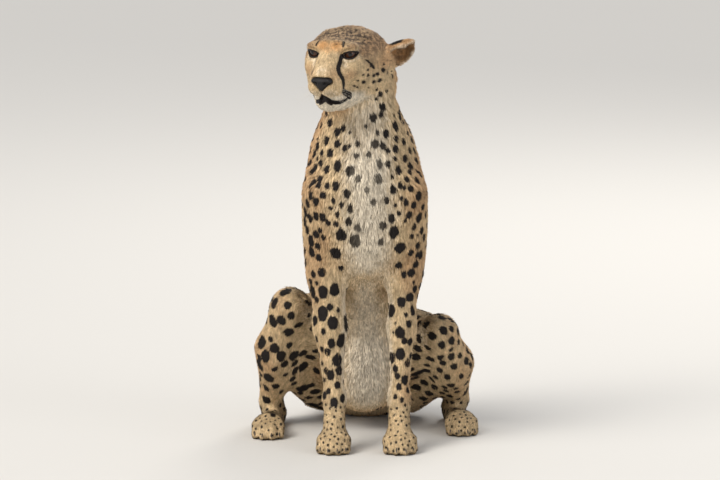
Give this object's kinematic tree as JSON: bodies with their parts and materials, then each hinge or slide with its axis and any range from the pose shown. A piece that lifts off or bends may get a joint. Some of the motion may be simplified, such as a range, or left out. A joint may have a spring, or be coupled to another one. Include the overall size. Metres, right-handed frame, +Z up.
{
  "type": "cheetah",
  "caption": "Life-size still model of a cheetah sitting upright on its haunches, forelegs straight, head turned slightly to its right, tail laid out behind.",
  "frame": {"origin": "on the floor, below the middle of the model's bounding box", "axes": "+Z up; the chest faces -Y and the tail runs out towards +Y; the animal's left side is towards +X"},
  "size_m": [0.461, 1.127, 0.8544],
  "materials": {
    "coat": "short dense fur, tawny with black spots and a pale underside",
    "eye": "moist, polished",
    "nose_leather": "damp satin",
    "claw": "horn, semi-matt"
  },
  "bodies": {
    "root": {"ear_left": "coat", "ear_right": "coat", "eye_left": "eye", "eye_right": "eye", "nose": "nose_leather", "head": "coat", "claw_front_left_1": "claw", "claw_front_left_2": "claw", "claw_front_left_3": "claw", "claw_front_left_4": "claw", "claw_hind_left_1": "claw", "claw_hind_left_2": "claw", "claw_hind_left_3": "claw", "claw_hind_left_4": "claw", "claw_front_right_1": "claw", "claw_front_right_2": "claw", "claw_front_right_3": "claw", "claw_front_right_4": "claw", "claw_hind_right_1": "claw", "claw_hind_right_2": "claw", "claw_hind_right_3": "claw", "claw_hind_right_4": "claw", "tail_tip": "coat", "tail_end": "coat", "tail_middle": "coat", "tail_root": "coat", "paw_front_left": "coat", "forearm_left": "coat", "upper_arm_left": "coat", "paw_hind_left": "coat", "hind_foot_left": "coat", "shank_left": "coat", "thigh_left": "coat", "paw_front_right": "coat", "forearm_right": "coat", "upper_arm_right": "coat", "paw_hind_right": "coat", "hind_foot_right": "coat", "shank_right": "coat", "thigh_right": "coat", "neck": "coat", "rump": "coat", "loins": "coat", "chest": "coat"}
  },
  "joints": []
}
